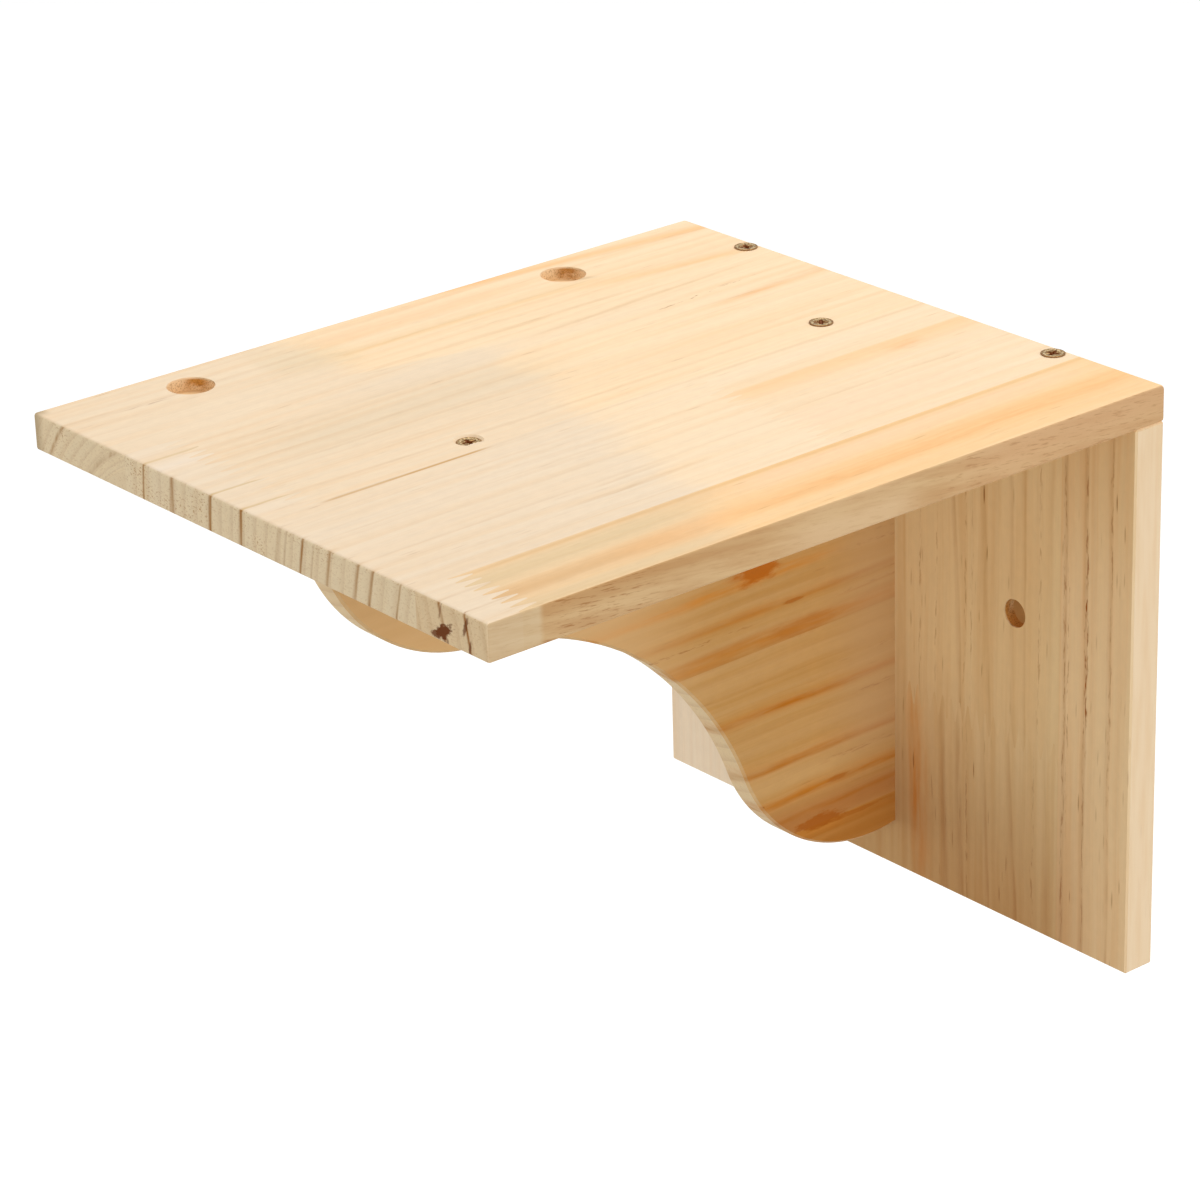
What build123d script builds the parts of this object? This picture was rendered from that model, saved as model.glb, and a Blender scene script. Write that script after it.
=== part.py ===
from build123d import *
import math
import os

# A wall-hung pine platform, the landing of a hanging cat bridge. A shelf board lies on a
# back board, and one scrolled bracket carries it. Every board is sawn from a pine panel
# of staves, glued edge to edge, whose blocks are finger-jointed end to end.
#
# Frame: +X to the right along the wall, +Y into the wall, +Z up. The origin lies on the
# wall, midway between the two wall screw holes.

# Shelf board
board_width = 220.0
shelf_depth = 262.0
shelf_thickness = 12.0
shelf_easing = 1.0
shelf_rear_easing = 2.0
end_easing = 0.8

# Back board, whose top edge carries the rear of the shelf
back_height = 185.0
back_thickness = 12.0
back_easing = 0.6

# Scrolled bracket: a front lobe, a cove and a large rear lobe against the back board
bracket_thickness = 10.0
bracket_nose_setback = 20.0
bracket_foot_rise = 15.0
bracket_offset = -1.0
bracket_easing = 0.8
front_lobe_radius = 61.0
front_lobe_rise = 8.0
cove_radius = 125.0
rear_lobe_radius = 58.5
rear_lobe_inset = 11.0

# Staves: the outer two of each board are given, and the middle two share the rest
shelf_left_stave_width = 47.0
shelf_right_stave_width = 33.0
shelf_seam_skew = 0.7
back_left_stave_width = 49.0
back_right_stave_width = 31.0
bracket_top_stave_width = 19.4
bracket_tip_stave_width = 10.6
bracket_seam_skew = 1.0

# Finger joints, measured from the front edge of the shelf and the foot of the back board
fingers_per_stave = 18
finger_length = 7.5
finger_tip = 0.6
left_stave_joint_setback = 95.0
centre_left_stave_joint_setback = 17.0
centre_right_stave_joint_setback = 160.0
right_stave_joint_setback = 14.0
back_stave_joint_rise = 66.0

# Stepped holes along the left edge, for the bolts that hold the hanging bridge
bolt_hole_diameter = 6.5
bolt_recess_diameter = 15.0
bolt_recess_depth = 4.5
bolt_hole_inset = 14.5
front_bolt_hole_setback = 48.0
rear_bolt_hole_reach = 66.0

# Wall screw holes through the back board
wall_hole_diameter = 9.5
wall_hole_inset = 51.0
wall_hole_drop = 88.0

# Wood screws: countersunk, 4 x 35, with a cross recess
screw_length = 35.0
screw_shank_diameter = 4.0
screw_head_diameter = 8.0
screw_point_length = 5.0
screw_tip_diameter = 1.0
screw_clearance = 0.1
recess_span = 4.4
recess_slot = 1.1
recess_depth = 1.6

# Screw places on the shelf, as driven by hand: from its side edges or from the bracket's
# middle plane, and from the wall or from its front edge
left_back_screw_inset = 36.0
right_back_screw_inset = 42.0
back_screw_reach = 5.5
rear_bracket_screw_offset = -1.5
rear_bracket_screw_reach = 37.5
front_bracket_screw_offset = 1.0
front_bracket_screw_setback = 81.0
screw_proud = 0.4
front_screw_sink = 0.5

# Screw places on the wall side of the back board, from its top edge and its foot
upper_rear_screw_drop = 38.0
lower_rear_screw_rise = 57.0
rear_screw_sink = 0.5

# How far every cutting shape runs past what it cuts
overrun = 2.0

# Places that the boards share
side_edge = board_width / 2
shelf_top = wall_hole_drop
shelf_underside = shelf_top - shelf_thickness
back_face = -back_thickness
back_foot = shelf_underside - back_height
bracket_nose = bracket_nose_setback - shelf_depth
bracket_foot = back_foot + bracket_foot_rise


def finger_edge(first, width, level):
    """Zigzag of fingers across one stave, shared by the two blocks that meet there."""
    pitch = width / fingers_per_stave
    half_tip = finger_tip / 2
    root = level - finger_length / 2
    crest = level + finger_length / 2
    points = [(first, root)]
    for finger in range(fingers_per_stave):
        start = first + finger * pitch
        middle = start + pitch / 2
        end = start + pitch
        points.append((start + half_tip, root))
        points.append((middle - half_tip, crest))
        points.append((middle + half_tip, crest))
        points.append((end - half_tip, root))
    return points + [(first + width, root)]


def block(board, plane, reach, far_edge, near_edge):
    """The part of a board inside one outline that is drawn on the board's middle plane."""
    outline = plane * Polyline(*far_edge, *reversed(near_edge), close=True)
    return board & extrude(make_face(outline), amount=reach, both=True)


def whole_stave(board, plane, first, width):
    """One stave of a board as a single block, from its first seam across its width."""
    reach = board.bounding_box().diagonal
    far_edge = [(first, reach), (first + width, reach)]
    near_edge = [(first, -reach), (first + width, -reach)]
    return block(board, plane, reach, far_edge, near_edge)


def jointed_stave(board, plane, first, width, level):
    """One stave as two blocks that are finger-jointed at a level, the far one first."""
    reach = board.bounding_box().diagonal
    far_edge = [(first, reach), (first + width, reach)]
    near_edge = [(first, -reach), (first + width, -reach)]
    fingers = finger_edge(first, width, level)
    far_block = block(board, plane, reach, far_edge, fingers)
    near_block = block(board, plane, reach, fingers, near_edge)
    return far_block, near_block


def turned(outline):
    """Solid of revolution about Z, from half of its section."""
    return revolve(make_face(Plane.XZ * Polyline(*outline, close=True)), Axis.Z)


def screw():
    """Countersunk screw about Z with its head's face at zero and a cross recess."""
    head = screw_head_diameter / 2
    shank = screw_shank_diameter / 2
    outline = (
        (0, 0),
        (head, 0),
        (shank, shank - head),
        (shank, screw_point_length - screw_length),
        (screw_tip_diameter / 2, -screw_length),
        (0, -screw_length),
    )
    cross = Rectangle(recess_span, recess_slot) + Rectangle(recess_slot, recess_span)
    return turned(outline) - extrude(cross, amount=-recess_depth)


def screw_hole():
    """The countersunk hole of one screw, open above its head."""
    head = screw_head_diameter / 2 + screw_clearance
    shank = screw_shank_diameter / 2 + screw_clearance
    bottom = -screw_length - screw_clearance
    outline = (
        (0, overrun),
        (head + overrun, overrun),
        (shank, shank - head),
        (shank, bottom),
        (0, bottom),
    )
    return turned(outline)


def back_screw_places():
    """Two screws from the shelf into the top edge of the back board."""
    return [
        Pos(left_back_screw_inset - side_edge, -back_screw_reach, shelf_top + screw_proud),
        Pos(side_edge - right_back_screw_inset, -back_screw_reach, shelf_top + screw_proud),
    ]


def bracket_screw_places():
    """Two screws from the shelf into the bracket, the front one driven a little deeper."""
    rear_x = bracket_offset + rear_bracket_screw_offset
    front_x = bracket_offset + front_bracket_screw_offset
    front_y = front_bracket_screw_setback - shelf_depth
    return [
        Pos(rear_x, -rear_bracket_screw_reach, shelf_top + screw_proud),
        Pos(front_x, front_y, shelf_top - front_screw_sink),
    ]


def rear_screw_places():
    """Two screws from the wall side, through the back board into the bracket."""
    levels = (shelf_underside - upper_rear_screw_drop, back_foot + lower_rear_screw_rise)
    return [Pos(bracket_offset, -rear_screw_sink, level) * Rot(X=-90) for level in levels]


def stepped_hole():
    """Bolt hole down through the shelf, with the recess for the bolt's head on top."""
    hole_height = shelf_thickness + overrun
    recess_height = bolt_recess_depth + overrun
    down = (Align.CENTER, Align.CENTER, Align.MAX)
    hole = Cylinder(bolt_hole_diameter / 2, hole_height, align=down)
    recess = Cylinder(bolt_recess_diameter / 2, recess_height, align=down)
    return hole + Pos(0, 0, overrun) * recess


def drilled(board, places):
    """A board with a screw hole at each of these places."""
    for place in places:
        board -= place * screw_hole()
    return board


def shelf_board():
    """The shelf before it is split into blocks: eased all round and drilled."""
    section = Rectangle(shelf_depth, shelf_thickness, align=(Align.MAX, Align.MAX))
    rear_top = section.vertices().group_by(Axis.X)[-1].sort_by(Axis.Y)[-1]
    section = fillet(rear_top, shelf_rear_easing)
    other_corners = section.vertices().group_by(Axis.X)
    section = fillet(other_corners[0] + [other_corners[-1].sort_by(Axis.Y)[0]], shelf_easing)
    board = extrude(Plane.YZ * section, amount=side_edge, both=True)
    board = Pos(0, 0, shelf_top) * fillet(board.faces().filter_by(Axis.X).edges(), end_easing)
    hole_x = bolt_hole_inset - side_edge
    for hole_y in (front_bolt_hole_setback - shelf_depth, -rear_bolt_hole_reach):
        board -= Pos(hole_x, hole_y, shelf_top) * stepped_hole()
    return drilled(board, back_screw_places() + bracket_screw_places())


def back_board():
    """The back board before it is split: eased all round and drilled."""
    box = Box(
        board_width, back_thickness, back_height, align=(Align.CENTER, Align.MAX, Align.MAX)
    )
    board = Pos(0, 0, shelf_underside) * box
    board = chamfer(board.edges(), back_easing)
    for hole_x in (wall_hole_inset - side_edge, side_edge - wall_hole_inset):
        hole = Cylinder(wall_hole_diameter / 2, back_thickness + overrun * 2)
        board -= Pos(hole_x, -back_thickness / 2, 0) * Rot(X=90) * hole
    return drilled(board, back_screw_places() + rear_screw_places())


def arc_about(centre, start, end):
    """Arc of under a half circle about a centre, between two points on it."""
    middle = (start - centre + end - centre).normalized() * (start - centre).length
    return ThreePointArc(start, centre + middle, end)


def cove_centre(front, rear):
    """Centre of the cove: it touches both lobes from outside, below them."""
    to_front = front_lobe_radius + cove_radius
    to_rear = rear_lobe_radius + cove_radius
    span = (front - rear).length
    along = (to_rear**2 - to_front**2 + span**2) / (2 * span)
    aside = math.sqrt(to_rear**2 - along**2)
    forward = (front - rear).normalized()
    downward = forward.rotate(Axis.Z, 90)
    return rear + forward * along + downward * aside


def bracket_profile():
    """Outline of the bracket, drawn with +X into the wall and +Y up."""
    rear = Vector(back_face - rear_lobe_inset, bracket_foot + rear_lobe_radius)
    front = Vector(bracket_nose + front_lobe_radius, shelf_underside + front_lobe_rise)
    cove = cove_centre(front, rear)
    nose_width = math.sqrt(front_lobe_radius**2 - front_lobe_rise**2)
    heel_drop = math.sqrt(rear_lobe_radius**2 - rear_lobe_inset**2)
    corner = Vector(back_face, shelf_underside)
    nose = Vector(front.X - nose_width, shelf_underside)
    heel = Vector(back_face, rear.Y - heel_drop)
    front_join = front + (cove - front).normalized() * front_lobe_radius
    rear_join = rear + (cove - rear).normalized() * rear_lobe_radius
    return [
        Line(corner, nose),
        arc_about(front, nose, front_join),
        arc_about(cove, front_join, rear_join),
        arc_about(rear, rear_join, heel),
        Line(heel, corner),
    ]


def bracket_board():
    """The bracket before it is split: sawn, eased along the curved edge and drilled."""
    face = Plane.YZ * make_face(bracket_profile())
    board = Pos(bracket_offset, 0, 0) * extrude(face, amount=bracket_thickness / 2, both=True)
    sawn_edges = board.faces().filter_by(Axis.X).edges().filter_by(GeomType.CIRCLE)
    board = chamfer(sawn_edges, bracket_easing)
    return drilled(board, bracket_screw_places() + rear_screw_places())


def shelf_blocks():
    """Eight blocks of the shelf, by name."""
    plane = Plane(
        origin=(0, -shelf_depth / 2, shelf_top - shelf_thickness / 2),
        x_dir=Vector(1, 0, 0).rotate(Axis.Z, shelf_seam_skew),
        z_dir=(0, 0, 1),
    )
    joints = {
        "left": left_stave_joint_setback,
        "centre_left": centre_left_stave_joint_setback,
        "centre_right": centre_right_stave_joint_setback,
        "right": right_stave_joint_setback,
    }
    board = shelf_board()
    width = (board_width - shelf_left_stave_width - shelf_right_stave_width) / 2
    first = shelf_left_stave_width - side_edge - width
    blocks = {}
    for side, setback in joints.items():
        rear, front = jointed_stave(board, plane, first, width, setback - shelf_depth / 2)
        blocks[f"shelf_{side}_stave_rear"] = rear
        blocks[f"shelf_{side}_stave_front"] = front
        first += width
    return blocks


def back_blocks():
    """Five blocks of the back board, by name."""
    plane = Plane(
        origin=(0, -back_thickness / 2, back_foot + back_height / 2),
        x_dir=(1, 0, 0),
        z_dir=(0, -1, 0),
    )
    board = back_board()
    width = (board_width - back_left_stave_width - back_right_stave_width) / 2
    seam = back_left_stave_width - side_edge
    joint = back_stave_joint_rise - back_height / 2
    upper, lower = jointed_stave(board, plane, seam + width, width, joint)
    return {
        "back_left_stave": whole_stave(board, plane, seam - width, width),
        "back_centre_left_stave": whole_stave(board, plane, seam, width),
        "back_centre_right_stave_upper": upper,
        "back_centre_right_stave_lower": lower,
        "back_right_stave": whole_stave(board, plane, seam + width * 2, width),
    }


def bracket_blocks():
    """Four staves of the bracket, from the shelf down."""
    plane = Plane(
        origin=(bracket_offset, (back_face + bracket_nose) / 2, shelf_underside),
        x_dir=Vector(0, 0, -1).rotate(Axis.X, bracket_seam_skew),
        z_dir=(1, 0, 0),
    )
    board = bracket_board()
    drop = shelf_underside - bracket_foot
    width = (drop - bracket_top_stave_width - bracket_tip_stave_width) / 2
    first = bracket_top_stave_width - width
    blocks = {}
    for level in ("top", "upper", "lower", "tip"):
        blocks[f"bracket_{level}_stave"] = whole_stave(board, plane, first, width)
        first += width
    return blocks


def screw_groups():
    """Identical screws, grouped by what they join."""
    groups = {
        "shelf_to_back_screws": back_screw_places(),
        "shelf_to_bracket_screws": bracket_screw_places(),
        "back_to_bracket_screws": rear_screw_places(),
    }
    return {
        name: Compound(children=[place * screw() for place in places])
        for name, places in groups.items()
    }


os.makedirs("parts", exist_ok=True)
nodes = {**shelf_blocks(), **back_blocks(), **bracket_blocks(), **screw_groups()}
for name, node in nodes.items():
    export_step(node, f"parts/{name}.step")
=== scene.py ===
import bmesh
import bpy
import math
from mathutils import Matrix, Vector


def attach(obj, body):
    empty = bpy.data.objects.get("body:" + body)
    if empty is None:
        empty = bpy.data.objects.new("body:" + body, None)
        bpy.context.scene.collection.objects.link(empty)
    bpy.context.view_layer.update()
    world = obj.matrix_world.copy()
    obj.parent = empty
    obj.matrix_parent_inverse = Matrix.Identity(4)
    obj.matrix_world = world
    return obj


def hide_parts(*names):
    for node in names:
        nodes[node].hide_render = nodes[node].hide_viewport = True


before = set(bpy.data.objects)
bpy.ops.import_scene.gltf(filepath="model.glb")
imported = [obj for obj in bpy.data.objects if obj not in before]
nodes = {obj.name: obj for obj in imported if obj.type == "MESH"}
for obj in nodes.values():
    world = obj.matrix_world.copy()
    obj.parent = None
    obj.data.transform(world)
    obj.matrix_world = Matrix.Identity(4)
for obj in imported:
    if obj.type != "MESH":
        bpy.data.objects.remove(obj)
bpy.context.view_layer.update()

# Sizes of the boards in mm
MM = 0.001
SHELF_TOP = 88.0
WIDTH = 220.0
BOARD = 12.0
BRACKET_FACE = 4.0
FINGER = 7.5
PITCH = 70.0 / 18

# Middle of each board along its grain, about which its rings slope
SHELF_MIDDLE = 131.0
BACK_MIDDLE = 104.5
BRACKET_MIDDLE = 127.0

# Wood
RING_SPREAD = 6.0
WOOD_ROUGHNESS = 0.68
WOOD_SPECULAR = 0.08
GRAIN_BUMP = 0.22
GRAIN_HEIGHT = 0.00012

# Holes, from the board's left edge and from the top or the wall, with what counts as inside
RECESS_ACROSS = 14.5
RECESS_REACH = 7.7
WALL_HOLE_ALONG = 88.0
WALL_HOLE_REACH = 5.2

# Screws
SCREW_LENGTH = 35.0
SCREW_SIDES = 96
THREAD_TOP = -6.0
THREAD_END = -34.4
THREAD_STEP = 0.3
THREAD_PITCH = 1.8
THREAD_CORE = 1.35
THREAD_RIDGE = 0.58
SMOOTH_ANGLE = 40

# Studio, in metres and watts: place, aim, size and power of each lamp
LAMPS = (
    ("key", (-0.15, 0.25, 1.25), (0, -0.12, 0.08), (1.0, 0.8), 7.1),
    ("side", (1.7, 0.0, 0.35), (0.1, -0.1, 0.0), (1.0, 1.0), 8.4),
    ("front", (0.3, -2.2, -0.1), (0, -0.1, -0.05), (1.2, 1.2), 5.0),
    ("left", (-1.6, -0.7, -0.25), (-0.05, -0.05, -0.05), (0.8, 0.8), 5.0),
)
FLOOR_REACH = 6.0
FLOOR_LEVEL = -0.62


class Shader:
    """Adds nodes to a tree. Numbers and sockets can be given alike."""

    def __init__(self, tree):
        self.tree = tree

    def node(self, kind, settings=None, **inputs):
        new = self.tree.nodes.new(kind)
        for name, value in (settings or {}).items():
            setattr(new, name, value)
        for name, value in inputs.items():
            self.put(new.inputs[name.replace("_", " ")], value)
        return new

    def put(self, socket, value):
        if isinstance(value, bpy.types.NodeSocket):
            self.tree.links.new(value, socket)
        else:
            socket.default_value = value

    def math(self, operation, *values):
        new = self.tree.nodes.new("ShaderNodeMath")
        new.operation = operation
        for socket, value in zip(new.inputs, values):
            self.put(socket, value)
        return new.outputs[0]

    def add(self, *values):
        total = values[0]
        for value in values[1:]:
            total = self.math("ADD", total, value)
        return total

    def less(self, first, second):
        return self.math("SUBTRACT", first, second)

    def times(self, *values):
        total = values[0]
        for value in values[1:]:
            total = self.math("MULTIPLY", total, value)
        return total

    def length(self, first, second):
        return self.math("SQRT", self.add(self.times(first, first), self.times(second, second)))

    def split(self, vector):
        return self.node("ShaderNodeSeparateXYZ", Vector=vector).outputs

    def place(self, *parts):
        """A place in a pattern. Each part is a number, or a coordinate and its scale."""
        x, y, z = (self.times(*part) if isinstance(part, tuple) else part for part in parts)
        return self.node("ShaderNodeCombineXYZ", X=x, Y=y, Z=z).outputs[0]

    def rise(self, value, low, high, start=0.0, end=1.0):
        """Value from low to high, eased from start to end and held beyond both."""
        new = self.tree.nodes.new("ShaderNodeMapRange")
        new.interpolation_type = "SMOOTHSTEP"
        for socket, item in zip(new.inputs, (value, low, high, start, end)):
            self.put(socket, item)
        return new.outputs[0]

    def fall(self, value, low, high):
        return self.rise(value, low, high, 1.0, 0.0)

    def noise(self, *parts, detail=2.0, roughness=0.5):
        new = self.node("ShaderNodeTexNoise", Vector=self.place(*parts), Scale=1.0, Detail=detail)
        new.inputs["Roughness"].default_value = roughness
        return new.outputs["Fac"]

    def uneven(self, noise, reach):
        """Noise made to swing about zero."""
        return self.times(self.add(noise, -0.5), reach)

    def mix(self, factor, first, second, blend="MIX"):
        new = self.tree.nodes.new("ShaderNodeMix")
        new.data_type = "RGBA"
        new.blend_type = blend
        sockets = (new.inputs[0], new.inputs[6], new.inputs[7])
        for socket, item in zip(sockets, (factor, first, second)):
            if isinstance(item, tuple) and len(item) == 3:
                item = (*item, 1.0)
            self.put(socket, item)
        return new.outputs[2]

    def multiply(self, colour, tint):
        return self.mix(1.0, colour, tint, "MULTIPLY")

    def tinted(self, colour, mask, tint):
        return self.mix(self.math("MINIMUM", mask, 1.0), colour, tint)

    def millimetres(self):
        """Place in the part's own frame."""
        parts = self.split(self.node("ShaderNodeTexCoord").outputs["Object"])
        return [self.times(part, 1 / MM) for part in parts]

    def directly_seen(self):
        """1 where the camera, a gloss or a glass looks at the surface, 0 where it lights."""
        path = self.node("ShaderNodeLightPath")
        seen = self.math("MAXIMUM", path.outputs["Is Camera Ray"], path.outputs["Is Glossy Ray"])
        return self.math("MAXIMUM", seen, path.outputs["Is Transmission Ray"])


def srgb(red, green, blue):
    """A colour as written in 0 to 255, made linear."""
    return tuple(
        v / 12.92 if v <= 0.04045 else ((v + 0.055) / 1.055) ** 2.4
        for v in (red / 255, green / 255, blue / 255)
    )


def new_material(name):
    material = bpy.data.materials.new(name)
    material.use_nodes = True
    material.node_tree.nodes.clear()
    return material, Shader(material.node_tree)


# Pine. Every board has its own coordinates in mm: across the grain from its left or upper
# edge, along the grain, and depth under its seen face. Facing is its normal in that order.


def board_axes(s, board, slope):
    x, y, z = s.millimetres()
    normal = s.split(s.node("ShaderNodeTexCoord").outputs["Normal"])
    if board == "shelf":
        across, along, depth = s.add(x, WIDTH / 2), s.times(y, -1), s.less(SHELF_TOP, z)
        facing = (normal[0], normal[1], normal[2])
        middle = SHELF_MIDDLE
    elif board == "back":
        across, along, depth = s.add(x, WIDTH / 2), s.less(SHELF_TOP, z), s.add(y, BOARD)
        facing = (normal[0], normal[2], normal[1])
        middle = BACK_MIDDLE
    else:
        across, along, depth = s.less(SHELF_TOP, z), s.times(y, -1), s.less(BRACKET_FACE, x)
        facing = (normal[2], normal[1], normal[0])
        middle = BRACKET_MIDDLE
    drift = s.times(s.less(along, middle), -math.tan(math.radians(slope)))
    return s.add(across, drift), along, depth, facing


def streak_group():
    """Mask of one growth ring or streak, with soft sides and soft ends."""
    tree = bpy.data.node_groups.new("streak", "ShaderNodeTree")
    names = ("Across", "Along", "Centre", "Left", "Right", "Start", "End", "Fade")
    for name in names:
        tree.interface.new_socket(name, in_out="INPUT", socket_type="NodeSocketFloat")
    tree.interface.new_socket("Mask", in_out="OUTPUT", socket_type="NodeSocketFloat")
    s = Shader(tree)
    entry = tree.nodes.new("NodeGroupInput")
    across, along, centre, left, right, start, end, fade = (entry.outputs[n] for n in names)
    mask = s.times(
        s.rise(across, s.less(centre, left), centre),
        s.fall(across, centre, s.add(centre, right)),
        s.rise(along, s.less(start, fade), s.add(start, fade)),
        s.fall(along, s.less(end, fade), s.add(end, fade)),
    )
    tree.links.new(mask, tree.nodes.new("NodeGroupOutput").inputs["Mask"])
    return tree


STREAK = streak_group()


def streak(s, across, along, centre, left, right, start, end, strength, lean=0.0, fade=None):
    """One streak: where it runs across the grain, how far it reaches to its left and right,
    where it starts and ends along the grain, its strength, its lean and its soft ends."""
    if lean:
        across = s.add(across, s.times(s.less(along, start), -lean))
    new = s.node("ShaderNodeGroup", {"node_tree": STREAK}, Across=across, Along=along)
    fade = min(18.0, (end - start) / 3) if fade is None else fade
    names = ("Centre", "Left", "Right", "Start", "End", "Fade")
    for name, value in zip(names, (centre, left, right, start, end, fade)):
        new.inputs[name].default_value = value
    return s.times(new.outputs[0], strength)


def streaks(s, across, along, lines):
    return s.add(0.0, *(streak(s, across, along, *line) for line in lines))


def oval(s, across, along, centre, level, wide, tall, tilt=0):
    """How far a place is from the middle of an oval, 1 on its outline."""
    aside, ahead = s.add(across, -centre), s.add(along, -level)
    turn = math.radians(tilt)
    first = s.add(s.times(aside, math.cos(turn) / wide), s.times(ahead, -math.sin(turn) / wide))
    second = s.add(s.times(aside, math.sin(turn) / tall), s.times(ahead, math.cos(turn) / tall))
    return s.length(first, second)


def bend_grain(s, across, along, seed):
    """Across, with a slow waver of the grain and a finer one."""
    waver = s.noise((across, 0.02), (along, 0.011), seed)
    ripple = s.noise((across, 0.11), (along, 0.035), seed + 7)
    return s.add(across, s.add(s.uneven(waver, 3.2), s.uneven(ripple, 0.9)))


def ring_place(s, bent, depth, heart):
    """Rings are circles about the heart of the log, named by where they meet the seen face."""
    centre, below, side = heart
    radius = s.length(s.less(bent, centre), s.less(depth, below))
    squared = s.less(s.times(radius, radius), below**2)
    level = s.math("SQRT", s.math("MAXIMUM", squared, 0.0))
    return s.add(centre, s.times(level, side))


def glue_lines(s, across, along, slope, seams, joint):
    """Seams between the staves, and the zigzag of a finger joint."""
    lines = streaks(s, across, along, seams)
    if joint:
        first, at, strength = joint
        tooth = s.math("PINGPONG", s.add(across, -first), PITCH / 2)
        flank = s.add(at + FINGER / 2, s.times(tooth, -2 * FINGER / PITCH))
        drift = s.times(s.add(across, -WIDTH / 2), math.tan(math.radians(slope)))
        near = s.math("ABSOLUTE", s.less(s.add(along, drift), flank))
        lines = s.add(lines, s.times(s.fall(near, 0.25, 1.2), strength))
    return lines


RING = srgb(166, 106, 40)
FACE_RING = srgb(204, 150, 80)
END_RING = srgb(164, 114, 58)
RESIN = srgb(236, 158, 80)
CANAL = srgb(158, 88, 26)
PORE = srgb(158, 104, 50)
OPEN_CELL = srgb(180, 128, 70)
GLUE = srgb(206, 152, 78)


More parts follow.
